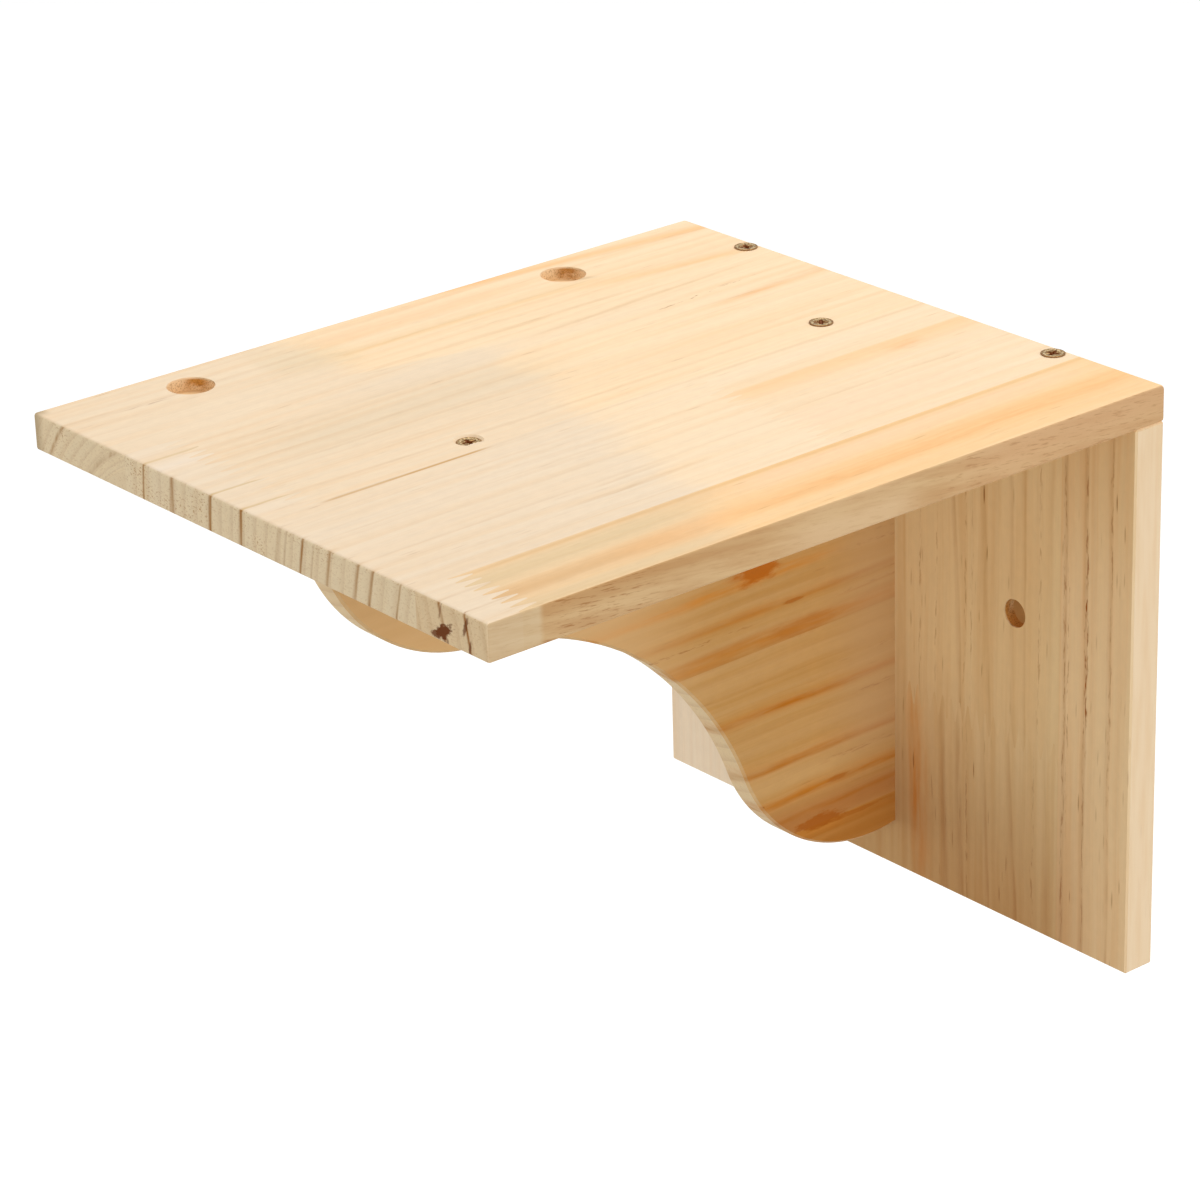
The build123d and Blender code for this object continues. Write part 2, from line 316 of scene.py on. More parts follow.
def pine(name, board, tone, end_tone, extra, slope=0.0, heart=(400.0, 60.0, -1), rings=(),
         glow=(), dashes=(), patches=(), seams=(), joint=None, pores=0.5, contrast=1.0,
         line=FACE_RING, resin=RESIN, sawn=False):
    """Sawn and sanded pine with rings, resin streaks, pores, end grain and glue lines.

    A sawn board shows end grain on all its edges, another one at its two ends."""
    material, s = new_material(name)
    across, along, depth, facing = board_axes(s, board, slope)
    seed = sum(ord(letter) for letter in name)
    bent = bend_grain(s, across, along, seed)
    ring_at = ring_place(s, bent, depth, heart)
    if sawn:
        end_face = s.fall(s.math("ABSOLUTE", facing[2]), 0.5, 0.85)
    else:
        end_face = s.rise(s.math("ABSOLUTE", facing[1]), 0.6, 0.85)

    # Broad bands, clouds and patches, and the shade of the fine fibres
    fibres = s.noise((bent, 1.6), (along, 0.035), (depth, 1.6), detail=3, roughness=0.6)
    bands = s.noise((ring_at, 0.24), (along, 0.006), seed, detail=3, roughness=0.55)
    cloud = s.noise((bent, 0.03), (along, 0.015), (depth, 0.04))
    mottle = s.noise((bent, 0.42), (along, 0.20), (depth, 0.42), detail=4, roughness=0.62)
    fine = s.uneven(fibres, 0.06 * contrast)
    shade = s.add(1.0, fine, s.uneven(cloud, 0.05), s.uneven(mottle, 0.12))
    colour = s.mix(s.rise(bands, 0.35, 0.75), *tone)
    for tint, *place in patches:
        colour = s.tinted(colour, streak(s, across, along, *place), tint)
    colour = s.mix(s.times(end_face, 0.7), colour, end_tone)

    # Regular growth rings, faint on the flat faces and clear on the end grain
    wave = s.math("FRACT", s.math("DIVIDE", s.add(ring_at, s.uneven(cloud, 3.0)), RING_SPREAD))
    ring = s.times(s.rise(wave, 0.45, 0.93), s.fall(wave, 0.95, 1.0))
    clear = s.add(0.035 * contrast, s.times(end_face, 0.10))
    colour = s.mix(s.times(ring, clear), colour, RING)

    # Rings and resin streaks given one by one, of uneven strength
    unrest_noise = s.noise((bent, 0.5), (along, 0.045), seed, detail=3)
    unrest = s.rise(unrest_noise, 0.25, 0.75, 0.40, 1.45)
    brown = streaks(s, ring_at, along, rings)
    clarity = s.add(1.0, s.times(end_face, -0.5 if sawn else 2.9))
    colour = s.tinted(colour, s.times(brown, unrest, clarity), s.mix(end_face, line, END_RING))
    colour = s.tinted(colour, s.times(streaks(s, ring_at, along, glow), unrest), resin)

    # Resin canals: short dark dashes along the grain, dots on the end grain
    cell_place = s.place((bent, 0.60), (along, 0.065), (depth, 0.60))
    cells = s.node("ShaderNodeTexVoronoi", {"feature": "F1"}, Vector=cell_place, Scale=1.0,
                   Randomness=1.0)
    pick = s.split(cells.outputs["Color"])[0]
    dash = s.times(s.fall(cells.outputs["Distance"], 0.08, 0.27), s.rise(pick, 0.66, 0.8))
    crowd = s.rise(bands, 0.45, 0.7, 0.25, 1.0)
    colour = s.tinted(colour, s.times(dash, crowd, pores * 0.5), PORE)
    if dashes:
        rough = s.noise((bent, 1.2), (along, 0.12), (depth, 1.2), roughness=0.7)
        jolt = s.noise((along, 0.14), seed, 1.0, detail=3, roughness=0.7)
        torn_at = s.add(ring_at, s.uneven(jolt, 2.4))
        broken = s.times(streaks(s, torn_at, along, dashes), s.rise(rough, 0.49, 0.60))
        colour = s.tinted(colour, broken, CANAL)

    # Open cells of the end grain
    speck = s.noise((bent, 1.1), (along, 0.4), (depth, 1.7), detail=3, roughness=0.7)
    crowded = s.noise((bent, 0.05), (depth, 0.05), seed + 3, detail=1)
    most = 0.15 if sawn else 0.75
    most = s.rise(crowded, 0.42, 0.62, most / 3, most)
    colour = s.mix(s.times(end_face, s.rise(speck, 0.52, 0.66), most), colour, OPEN_CELL)

    colour = s.tinted(colour, glue_lines(s, across, along, slope, seams, joint), GLUE)
    colour = s.multiply(colour, s.place(shade, shade, shade))
    colour = extra(s, colour, across, along, depth, facing)

    height = s.add(s.times(fibres, 0.6), s.times(dash, -0.8), s.times(brown, -0.15))
    bump = s.node("ShaderNodeBump", Strength=GRAIN_BUMP, Distance=GRAIN_HEIGHT, Height=height)
    surface = s.node("ShaderNodeBsdfPrincipled", Base_Color=colour, Normal=bump.outputs[0],
                     Roughness=WOOD_ROUGHNESS, Specular_IOR_Level=WOOD_SPECULAR)
    s.node("ShaderNodeOutputMaterial", Surface=surface.outputs[0])
    return material


def dress(node, material):
    for slot in nodes[node].material_slots:
        slot.material = material


def bored(s, colour, across, along, depth, place, reach, pale, brown, floor, darker_wall):
    """Rough wood inside a hole that goes into the board's seen face, from its rim inwards."""
    aside, ahead = s.add(across, -place[0]), s.add(along, -place[1])
    away = s.length(aside, ahead)
    inside = s.times(s.fall(away, reach, reach + 0.5), s.rise(depth, 0.25, 0.8))
    torn = s.noise((across, 0.30), (along, 0.22), (depth, 0.5), detail=3, roughness=0.6)
    sunk = s.add(depth, s.uneven(torn, 7.0))
    # The wall turns to the brown where the given mask says; in the bolt recesses this is painted
    # shade
    wall = s.mix(darker_wall(s, aside, ahead, sunk), pale, brown)
    grit = s.noise((across, 1.8), (along, 1.8), (depth, 1.8), detail=3, roughness=0.7)
    dark = s.multiply(wall, (0.60, 0.50, 0.38))
    wall = s.mix(s.rise(grit, 0.50, 0.60, 0.0, 0.75), wall, dark)
    bottom = s.rise(s.add(depth, s.times(torn, 0.9)), 4.55, 4.8)
    return s.mix(inside, colour, s.mix(bottom, wall, floor))


def recess_painted_shade(s, aside, ahead, sunk):
    """A bolt recess wall with painted shade, brownest at the back and right of the wall and paler
    where it is deep.
    """
    turn = s.add(s.times(aside, 0.083), s.times(ahead, -0.10), -0.15)
    middle = s.fall(s.math("ABSOLUTE", turn), 0.15, 0.68)
    return s.times(middle, s.fall(sunk, 1.8, 4.4))


def browned_hole(s, aside, ahead, sunk):
    """A wall hole is brown at its rim and along its underside."""
    return s.math("MAXIMUM", s.fall(sunk, 0.8, 4.2), s.rise(ahead, -2.0, 3.2))


def painted_front_shade(s, colour, across, along, facing):
    """Painted shade: the front half of the shelf's top is a little greyer than the rear half, as
    though less light fell on it.
    """
    edge = s.noise((across, 0.05), (along, 0.02), 3.0, detail=3)
    border = s.add(s.rise(across, 40.0, 52.0, 172.0, 122.0), s.uneven(edge, 34.0))
    border = s.add(border, s.times(s.math("MAXIMUM", s.add(across, -50.0), 0.0), 0.28))
    front_shade_mask = s.rise(s.less(along, border), -9.0, 11.0)
    front_shade_mask = s.times(front_shade_mask, s.rise(facing[2], 0.5, 0.9))
    return s.mix(front_shade_mask, colour, s.multiply(colour, (0.925, 0.960, 1.03)))


# Pale and dark tone of each kind of wood
CREAM = (srgb(247, 222, 188), srgb(245, 215, 176))
WARM = (srgb(248, 221, 184), srgb(246, 212, 169))
ORANGE = (srgb(248, 211, 162), srgb(245, 202, 148))
BACK = (srgb(240, 212, 162), srgb(231, 196, 142))
BACK_RIGHT = (srgb(245, 215, 167), srgb(240, 202, 150))
BACK_PALE = (srgb(252, 232, 203), srgb(248, 223, 190))
BACK_SIDE = (srgb(246, 221, 187), srgb(241, 212, 174))
SCROLL = (srgb(206, 163, 105), srgb(198, 151, 87))
SCROLL_LOW = (srgb(190, 130, 62), srgb(180, 116, 46))
SHELF_SIDE = (srgb(216, 182, 135), srgb(199, 157, 110))
PALE_SIDE = (srgb(218, 192, 153), srgb(210, 180, 138))
END_GRAIN = srgb(233, 214, 176)
CUT_EDGE = srgb(250, 228, 188)
FRONT_STAIN = srgb(232, 206, 162)
END_BAND = srgb(224, 190, 134)


def sawn_side(s, colour, along, depth, facing):
    """The shelf's right side: dull wisps, flecks, and a pale block at the front."""
    right = s.rise(facing[0], 0.6, 0.85)
    lean = s.add(depth, s.times(along, 0.10))
    wisp_noise = s.noise((lean, 0.30), (along, 0.025), 2.0, detail=4, roughness=0.6)
    wisps = s.rise(wisp_noise, 0.36, 0.66)
    dull = s.mix(wisps, *SHELF_SIDE)
    upper = s.times(s.fall(depth, 1.5, 7.5), s.rise(along, 120.0, 215.0))
    dull = s.mix(s.times(upper, 0.7), dull, srgb(190, 142, 90))
    rosy = s.times(s.fall(along, 60.0, 104.0), s.rise(depth, 4.0, 11.0, 0.7, 0.4))
    dull = s.mix(rosy, dull, srgb(216, 170, 126))
    lower = s.times(s.rise(along, 95.0, 115.0), s.fall(along, 140.0, 165.0))
    lower = s.times(lower, s.rise(depth, 3.0, 8.0, 0.3, 0.8))
    dull = s.mix(lower, dull, srgb(224, 192, 150))
    tone = s.mix(s.rise(along, 242.0, 244.5), dull, s.mix(wisps, *PALE_SIDE))
    fleck_noise = s.noise((lean, 1.5), (along, 0.13), 6.0, detail=3, roughness=0.65)
    thick = s.times(s.rise(along, 196.0, 212.0), s.fall(along, 238.0, 246.0), 0.60)
    thin = s.times(s.fall(along, 84.0, 100.0), 0.30)
    fleck = s.times(s.rise(fleck_noise, 0.52, 0.68), s.add(0.16, thick, thin))
    tone = s.mix(fleck, tone, srgb(156, 98, 44))
    return s.mix(s.times(right, 0.9), colour, tone)


def shelf_pine(name, tone, extra=None, side=False, **details):
    def finish(s, colour, across, along, depth, facing):
        if side:
            colour = sawn_side(s, colour, along, depth, facing)
        # Painted shade on the front half of the top face
        colour = painted_front_shade(s, colour, across, along, facing)
        return extra(s, colour, across, along, depth, facing) if extra else colour

    details.setdefault("slope", 0.7)
    return pine("pine_shelf_" + name, "shelf", tone, END_GRAIN, finish, **details)


def recessed(along_at, chipped):
    """The bolt recess, with a stain beside its chipped rim or at the corner of the board."""

    def paint(s, colour, across, along, depth, facing):
        if chipped:
            stain = streak(s, across, along, 23.0, 2.0, 2.0, 61.0, 67.0, 0.45, -0.25, 3.0)
            colour = s.tinted(colour, stain, srgb(186, 156, 112))
        else:
            corner = streak(s, across, along, 0.0, 2.0, 6.0, 258.6, 270.0, 0.8, 0.0, 1.6)
            colour = s.tinted(colour, corner, srgb(176, 152, 116))
        # The brown of the painted shade on the recess wall
        brown = srgb(196, 142, 80) if chipped else srgb(208, 150, 76)
        floor = srgb(250, 218, 172) if chipped else srgb(240, 204, 154)
        place = (RECESS_ACROSS, along_at)
        return bored(s, colour, across, along, depth, place, RECESS_REACH,
                     srgb(250, 220, 178), brown, floor, recess_painted_shade)

    return paint


# Blots of the knot on the front edge: across, depth, half width, half height, tilt, strength
KNOT_BLOTS = (
    (198.6, 8.5, 4.8, 1.7, 28, 1.0), (198.9, 8.7, 1.9, 2.4, 0, 1.0),
    (195.9, 10.3, 2.4, 1.0, 0, 0.9), (202.3, 5.4, 0.9, 0.35, 20, 0.6),
    (200.8, 11.0, 0.4, 1.2, 0, 0.6), (208.9, 4.0, 0.75, 3.2, -20, 0.8),
    (210.6, 9.8, 0.55, 2.2, -12, 0.75), (197.9, 2.6, 0.45, 2.6, -15, 0.45),
)


def knotted(s, colour, across, along, depth, facing):
    """A ragged dark knot and stained rings on the end grain of the front right block."""
    ragged = s.uneven(s.noise((across, 0.8), (depth, 1.0), 4.0, detail=3, roughness=0.7), 1.5)
    blots = 0.0
    for *place, strength in KNOT_BLOTS:
        away = s.add(oval(s, across, depth, *place), ragged)
        blots = s.math("MAXIMUM", blots, s.rise(away, 0.70, 1.20, strength, 0.0))
    face = s.rise(s.times(facing[1], -1), 0.6, 0.9)
    colour = s.mix(face, colour, s.multiply(colour, (0.95, 0.89, 0.82)))
    return s.mix(s.times(blots, face), colour, srgb(112, 58, 20))


dress("shelf_left_stave_rear", shelf_pine(
    "left_rear", WARM, slope=0.0, heart=(70.0, 50.0, -1), joint=(47.0, 167.0, 0.03),
    extra=recessed(66.0, True),
    patches=((srgb(250, 194, 136), 13.5, 5, 3.5, -40, 110, 0.70, -0.09),
             (srgb(240, 192, 126), 38, 6, 2.5, 6, 64, 0.60, -0.12),
             (srgb(240, 198, 138), 26, 4, 2, 60, 168, 0.40),
             (srgb(250, 204, 158), 13, 9, 6, 84, 168, 0.45),
             (srgb(252, 212, 172), 32, 8, 9, -40, 60, 0.45),
             (FRONT_STAIN, 24, 26, 18, 160, 188, 0.35, -0.2, 6.0)),
    rings=((25, 2.0, 1.0, 60, 168, 0.14), (42.5, 2.2, 1.2, 55, 168, 0.16),
           (13, 1.5, 1.2, -40, 58, 0.12, -0.05)),
    glow=((3.5, 3, 4, 90, 150, 0.10),)))
dress("shelf_left_stave_front", shelf_pine(
    "left_front", WARM, slope=0.0, heart=(70.0, 50.0, -1), joint=(47.0, 167.0, 0.03),
    extra=recessed(214.0, False),
    patches=((FRONT_STAIN, 24, 26, 18, 160, 188, 0.35, -0.2, 6.0),),
    rings=((16.6, 1.8, 1.2, 165, 320, 0.14), (45.5, 5.0, 1.5, 250, 320, 0.09)),
    dashes=((18, 1.6, 1.4, 222, 240, 0.3),)))
dress("shelf_centre_left_stave_rear", shelf_pine(
    "centre_left_rear", WARM, heart=(300.0, 25.0, -1), joint=(47.0, 245.0, 0.04),
    patches=((srgb(243, 219, 186), 58, 9, 12, 60, 180, 0.5, -0.03),
             (srgb(226, 202, 164), 75, 20, 22, 118, 224, 0.28)),
    rings=((49, 3.0, 1.5, 15, 105, 0.22, 0.05), (86, 1.6, 0.8, 150, 245, 0.14),
           (77, 1.2, 0.7, 130, 245, 0.10), (107, 1.6, 0.8, 60, 245, 0.10),
           (97, 1.2, 0.8, 20, 245, 0.09), (61, 2.5, 2.0, 150, 245, 0.12)),
    glow=((67.5, 4.5, 4, -40, 46, 0.26, 0.06), (54, 3, 3, 30, 120, 0.06, 0.02)),
    dashes=((60.0, 0.55, 0.45, 26, 62, 1.0, 0.08),),
    seams=((118.2, 1.6, 1.0, -20, 180, 0.12, 0.0, 8.0), (118.2, 1.1, 0.8, 182, 214, 0.85, 0.0, 5.0),
           (118.2, 1.4, 1.0, 214, 241, 0.60, 0.0, 4.0))))
dress("shelf_centre_left_stave_front", shelf_pine(
    "centre_left_front", CREAM, heart=(300.0, 25.0, -1), joint=(47.0, 245.0, 0.04),
    patches=((END_BAND, 57.2, 1.2, 1.0, 236, 320, 0.6, 0.0, 4.0),
             (END_BAND, 90.8, 1.2, 0.8, 236, 320, 0.7, 0.0, 4.0),
             (END_BAND, 106.2, 1.2, 0.8, 236, 320, 0.7, 0.0, 4.0),
             (srgb(250, 230, 204), 64, 7, 6, 236, 320, 0.5, 0.0, 2.0)),
    rings=((56.8, 1.0, 0.6, 260, 320, 0.24, 0.0, 2.0), (70.6, 0.9, 3.6, 260, 320, 0.17, 0.0, 2.0),
           (90.4, 1.6, 0.9, 260, 320, 0.22, 0.0, 2.0),
           (105.8, 2.0, 0.9, 260, 320, 0.24, 0.0, 2.0))))
dress("shelf_centre_right_stave_rear", shelf_pine(
    "centre_right_rear", CREAM, joint=(117.0, 102.0, 0.04),
    patches=((srgb(250, 204, 152), 135.5, 1.5, 16, -40, 108, 0.78),
             (srgb(250, 212, 176), 170, 16, 14, 30, 110, 0.45)),
    rings=((157.5, 2.0, 0.9, -40, 110, 0.16),),
    glow=((141, 4, 5, 26, 38, 0.26),),
    seams=((118.2, 1.6, 1.0, -20, 110, 0.12), (188.4, 2.2, 1.6, -20, 110, 0.16))))
dress("shelf_centre_right_stave_front", shelf_pine(
    "centre_right_front", CREAM, joint=(117.0, 102.0, 0.04),
    rings=((171, 2.5, 1.0, 145, 188, 0.30), (164, 2.0, 1.0, 148, 180, 0.16),
           (150, 1.2, 1, 140, 205, 0.10), (128, 1.0, 0.7, 110, 320, 0.08),
           (141, 1.0, 0.7, 120, 320, 0.08), (124, 1.2, 1.8, 260, 320, 0.08, 0.0, 2.0),
           (136, 1.2, 0.8, 260, 320, 0.16, 0.0, 2.0), (148.5, 1.6, 0.8, 260, 320, 0.16, 0.0, 2.0),
           (161.5, 1.6, 0.9, 260, 320, 0.14, 0.0, 2.0), (168.5, 1.6, 0.8, 260, 320, 0.20, 0.0, 2.0),
           (181, 0.9, 0.7, 260, 320, 0.17, 0.0, 2.0), (136, 1.2, 0.8, 90, 260, 0.08),
           (161.5, 1.6, 0.9, 90, 260, 0.09), (181, 0.9, 0.7, 90, 260, 0.08)),
    seams=((118.2, 1.6, 1.0, 90, 180, 0.12, 0.0, 8.0), (118.2, 1.1, 0.8, 182, 214, 0.85, 0.0, 5.0),
           (118.2, 1.4, 1.0, 214, 241, 0.60, 0.0, 4.0), (188.4, 2.2, 1.6, 90, 243, 0.16))))
dress("shelf_right_stave_rear", shelf_pine(
    "right_rear", ORANGE, heart=(0.0, 55.0, 1), joint=(187.0, 248.0, 0.05), side=True,
    patches=((srgb(250, 214, 178), 192, 4, 12, 10, 150, 0.55),
             (srgb(226, 200, 154), 195, 8, 9, 172, 320, 0.55),
             (srgb(226, 200, 154), 217, 7, 5, 180, 320, 0.45),
             (srgb(228, 180, 124), 207.0, 6, 6, 186, 262, 0.75),
             (srgb(252, 198, 138), 206.5, 8, 9, -40, 204, 0.50)),
    glow=((207.5, 7.0, 8.0, -40, 200, 0.16), (208.0, 6, 6, 20, 140, 0.10)),
    seams=((188.4, 2.2, 1.6, -20, 243, 0.24),)))
dress("shelf_right_stave_front", shelf_pine(
    "right_front", CREAM, heart=(0.0, 55.0, 1), joint=(187.0, 248.0, 0.05), side=True,
    extra=knotted,
    rings=((197.3, 1.3, 0.7, 200, 320, 0.20), (208.2, 1.2, 0.8, 200, 320, 0.24),
           (218.8, 1.0, 0.5, 200, 320, 0.14)),
    dashes=((208.4, 0.8, 0.6, 258, 320, 0.7),)))


def back_pine(name, tone, hole=None, outer=False, **details):
    """Staves of the back board: browner along the foot, partly in the wood's own tone and partly as
    painted shade, with torn wood in the wall holes.

    The outer one is shaded under the shelf and has the pale right edge."""

    def finish(s, colour, across, along, depth, facing):
        face = s.rise(s.times(facing[2], -1), 0.5, 0.9)
        # Darker and browner towards the foot of the front face, strongest near the bracket: partly
        # the wood's own tone, partly painted shade, which starts higher beside the bracket where
        # its shadow falls
        beside = s.times(s.math("MAXIMUM", s.less(150.0, across), 0.0), 0.35)
        low = s.times(s.rise(s.add(along, beside), 100.0, 205.0), face)
        low = s.times(low, s.rise(across, 49.0, 80.0), s.rise(across, 122.0, 145.0, 0.90, 1.0),
                      s.rise(across, 190.0, 212.0, 1.0, 0.72))
        foot = s.mix(s.fall(across, 165.0, 230.0), (0.88, 0.84, 0.82), (0.58, 0.43, 0.31))
        colour = s.mix(low, colour, s.multiply(colour, foot))
        if outer:
            shade = s.times(s.fall(along, 25.0, 80.0), face)
            colour = s.mix(shade, colour, s.multiply(colour, (0.93, 0.91, 0.85)))
            pale_noise = s.noise((depth, 0.35), (along, 0.03), 5.0, detail=3)
            pale = s.mix(s.rise(pale_noise, 0.35, 0.7), *BACK_SIDE)
            colour = s.mix(s.times(s.rise(facing[0], 0.6, 0.85), 0.85), colour, pale)
        if hole:
            place = (hole, WALL_HOLE_ALONG)
            colour = bored(s, colour, across, along, depth, place, WALL_HOLE_REACH,
                           srgb(244, 214, 160), srgb(212, 150, 76), srgb(220, 176, 112),
                           browned_hole)
        return colour

    details.setdefault("pores", 2.2)
    details.setdefault("resin", srgb(208, 136, 56))
    return pine("pine_back_" + name, "back", tone, BACK_SIDE[0], finish,
                heart=(400.0, 200.0, -1), line=srgb(178, 114, 46), **details)


dress("back_left_stave", back_pine("left", BACK_PALE, hole=51.0, pores=0.4))
dress("back_centre_left_stave", back_pine(
    "centre_left", BACK, hole=51.0, pores=0.8,
    rings=((66, 2.5, 1.0, -40, 300, 0.16), (90, 2.5, 1.0, -40, 300, 0.14))))
dress("back_centre_right_stave_upper", back_pine(
    "centre_right_upper", BACK, hole=169.0, joint=(119.0, 131.0, 0.05),
    rings=((138.7, 2.5, 1.0, 12, 300, 0.24, 0.058), (153, 2.5, 1.0, 12, 300, 0.20, 0.05),
           (167, 2.0, 1.0, 12, 300, 0.18, 0.02), (173, 1.0, 0.8, 12, 300, 0.16, 0.01)),
    patches=((srgb(234, 196, 140), 176, 24, 12, 56, 131, 0.45),),
    dashes=((125.6, 0.7, 0.7, 55, 125, 0.45), (133, 0.6, 0.6, 60, 120, 0.40),
            (146.6, 0.7, 0.7, 40, 125, 0.40), (149.6, 0.6, 0.6, 60, 120, 0.35),
            (180, 0.8, 0.8, 25, 125, 0.40)),
    seams=((119, 0.8, 0.8, -20, 300, 0.10), (189, 0.8, 0.8, -20, 300, 0.08))))
dress("back_centre_right_stave_lower", back_pine(
    "centre_right_lower", BACK, hole=169.0, joint=(119.0, 131.0, 0.05),
    rings=((136.5, 3.5, 1.8, 131, 300, 0.26, 0.03), (144, 3.0, 1.2, 131, 300, 0.28, 0.03),
           (156, 2.5, 0.8, 131, 300, 0.20, 0.03), (167, 2.5, 0.8, 131, 300, 0.24, 0.06),
           (183, 2.0, 0.8, 131, 300, 0.16, 0.03)),
    resin=srgb(232, 164, 86),
    glow=((122.5, 5.0, 8.0, 126, 188, 0.46, 0.03), (124, 5, 10, 146, 300, 0.26, 0.03)),
    dashes=((148, 0.8, 0.8, 140, 200, 0.40), (178, 0.8, 0.8, 140, 210, 0.4)),
    seams=((119, 0.8, 0.8, -20, 300, 0.10), (189, 0.8, 0.8, -20, 300, 0.08))))
dress("back_right_stave", back_pine(
    "right", BACK_RIGHT, outer=True,
    rings=((191.5, 2.5, 0.9, -40, 300, 0.22), (200.5, 2.5, 0.9, -40, 300, 0.30),
           (211, 2.0, 0.9, -40, 300, 0.24)),
    dashes=((191.0, 0.9, 0.8, 30, 190, 0.55), (192.6, 0.7, 0.6, 70, 150, 0.5),
            (200.6, 1.3, 1.0, 64, 122, 1.2), (200.4, 0.8, 0.6, 15, 60, 0.6),
            (200.2, 0.8, 0.6, 128, 190, 0.5), (211.2, 0.8, 0.7, 20, 150, 0.5)),
    seams=((189, 0.8, 0.8, -20, 300, 0.08),)))

# Resin knots of the bracket: across, along, half width, half height, strength, colour
AMBER, UMBER = srgb(190, 106, 24), srgb(172, 94, 20)
RESIN_KNOTS = (
    (73.2, 72.5, 6.0, 11.5, 0.35, AMBER), (73.2, 71.0, 5.3, 9.6, 0.9, AMBER),
    (170.6, 46.0, 2.8, 12.0, 0.85, UMBER), (157.4, 71.5, 0.9, 1.8, 0.8, UMBER),
    (88.6, 56.5, 0.8, 4.5, 0.6, UMBER), (98.6, 52.0, 3.4, 16.0, 0.20, UMBER),
    (157.6, 38.0, 1.1, 5.0, 0.5, UMBER), (172.6, 30.0, 0.9, 16.0, 0.5, UMBER),
)


def scroll_pine(name, tone, **details):
    """Staves of the bracket: paler towards the nose, duller by the wall, with resin knots."""

    def finish(s, colour, across, along, depth, facing):
        face = s.rise(facing[2], 0.6, 0.9)
        nose = s.times(s.rise(along, 84.0, 140.0), face, 0.55)
        colour = s.mix(nose, colour, srgb(236, 198, 146))
        dull = s.times(s.fall(along, 18.0, 48.0), s.rise(across, 140.0, 162.0, 0.5, 0.0), face)
        colour = s.mix(dull, colour, srgb(208, 172, 128))
        rough = s.noise((across, 0.40), (along, 0.12), 9.0, detail=3, roughness=0.7)
        ragged = s.uneven(rough, 1.5)
        for *place, strength, tint in RESIN_KNOTS:
            away = s.add(oval(s, across, along, *place), ragged)
            knot = s.times(s.rise(away, 0.6, 1.1, strength, 0.0), face)
            colour = s.mix(knot, colour, tint)
        return colour

    return pine("pine_bracket_" + name, "bracket", tone, CUT_EDGE, finish, slope=1.0,
                heart=(-300.0, 120.0, 1), sawn=True, contrast=1.6, resin=srgb(210, 136, 44),
                line=srgb(180, 108, 32), **details)


dress("bracket_top_stave", scroll_pine("top", SCROLL))
dress("bracket_upper_stave", scroll_pine(
    "upper", SCROLL, seams=((102.0, 0.8, 0.5, -20, 400, 0.35),),
    rings=((88.0, 2.4, 1.4, -40, 300, 0.42), (97.6, 3.8, 3.4, -40, 300, 0.45),
           (101.2, 3.8, 1.0, -40, 300, 0.42), (92.7, 0.6, 0.6, -20, 30, 0.5),
           (89.5, 0.6, 0.6, -20, 26, 0.5)),
    glow=((77.0, 4.5, 2.5, 42, 300, 0.65), (99.0, 5, 3.0, -40, 300, 0.35),
          (88.0, 4, 3, 40, 120, 0.25)),
    dashes=((91.8, 0.7, 0.6, 80, 122, 0.8), (77.7, 0.8, 0.7, -10, 28, 0.9),
            (74.6, 0.5, 0.5, -10, 20, 0.7), (92.2, 0.6, 0.5, -10, 32, 0.8),
            (89.0, 0.5, 0.5, -10, 26, 0.7))))
dress("bracket_lower_stave", scroll_pine(
    "lower", SCROLL,
    seams=((101.0, 0.5, 0.6, -20, 400, 0.15), (171.4, 0.8, 0.8, -20, 400, 0.15)),
    rings=((124.3, 2.6, 1.4, -40, 300, 0.75), (145.0, 2.8, 1.4, -40, 300, 0.70),
           (158.2, 2.8, 1.6, -40, 300, 0.80), (165.5, 2.2, 1.6, -40, 300, 0.50)),
    glow=((124.0, 6, 4, -40, 300, 0.25), (144.0, 6, 4, -40, 300, 0.22),
          (157.4, 5, 4, -40, 300, 0.35)),
    patches=((srgb(216, 176, 120), 151, 6, 6, 30, 300, 0.5),
             (srgb(182, 118, 60), 168, 13, 10, -40, 300, 0.8)),
    dashes=((116, 1.2, 1.2, 5, 22, 0.8), (129.5, 1.2, 1.2, 10, 28, 0.8),
            (150, 1.5, 1.5, 10, 40, 0.5))))
dress("bracket_tip_stave", scroll_pine(
    "tip", SCROLL_LOW, seams=((171.4, 0.8, 0.8, -20, 400, 0.15),),
    rings=((174.8, 1.6, 1.4, -40, 300, 0.55),), glow=((172, 3, 4, 30, 90, 0.4),)))


# Screws: countersunk, with a raised rim, a cross recess and a rolled thread

# Radius and level of the head's section from inside its rim to its neck
HEAD_SECTION = (
    (3.10, -0.10), (3.32, -0.02), (3.52, 0.0), (3.72, -0.02), (3.84, -0.07),
    (3.90, -0.14), (3.80, -0.25), (3.00, -1.06), (2.05, -2.02), (1.92, -2.40),
)
FACE_LEVEL = -0.10
FACE_RINGS = 29
FACE_STEP = 0.1
SHANK_RADIUS = 1.85


def held(value):
    return max(0.0, min(1.0, value))


def recess_depth(u, v):
    """Depth of the cross recess at a place on the head, in mm."""
    u, v = abs(u), abs(v)
    reach, off = max(u, v), min(u, v)
    slope = held((2.15 - reach) / 0.9)
    wall = held((0.74 - 0.10 * reach - off) / 0.20)
    arm = (0.40 + 0.95 * slope) * wall if reach < 2.2 else 0.0
    heart = 1.5 * held((1.50 - u - v) / 0.4)
    groove = 0.09 * max(0.0, 1.0 - abs(u - v) / 0.12) if 1.0 < u + v < 3.4 else 0.0
    return max(arm, heart, groove)


def screw_rings():
    """Half section of the screw under its head's face, from the rim to the point."""
    yield from HEAD_SECTION
    level = THREAD_TOP
    yield SHANK_RADIUS, level
    while level > THREAD_END:
        level -= THREAD_STEP
        yield THREAD_CORE * min(1.0, (level + SCREW_LENGTH) / 6.0 + 0.06), level


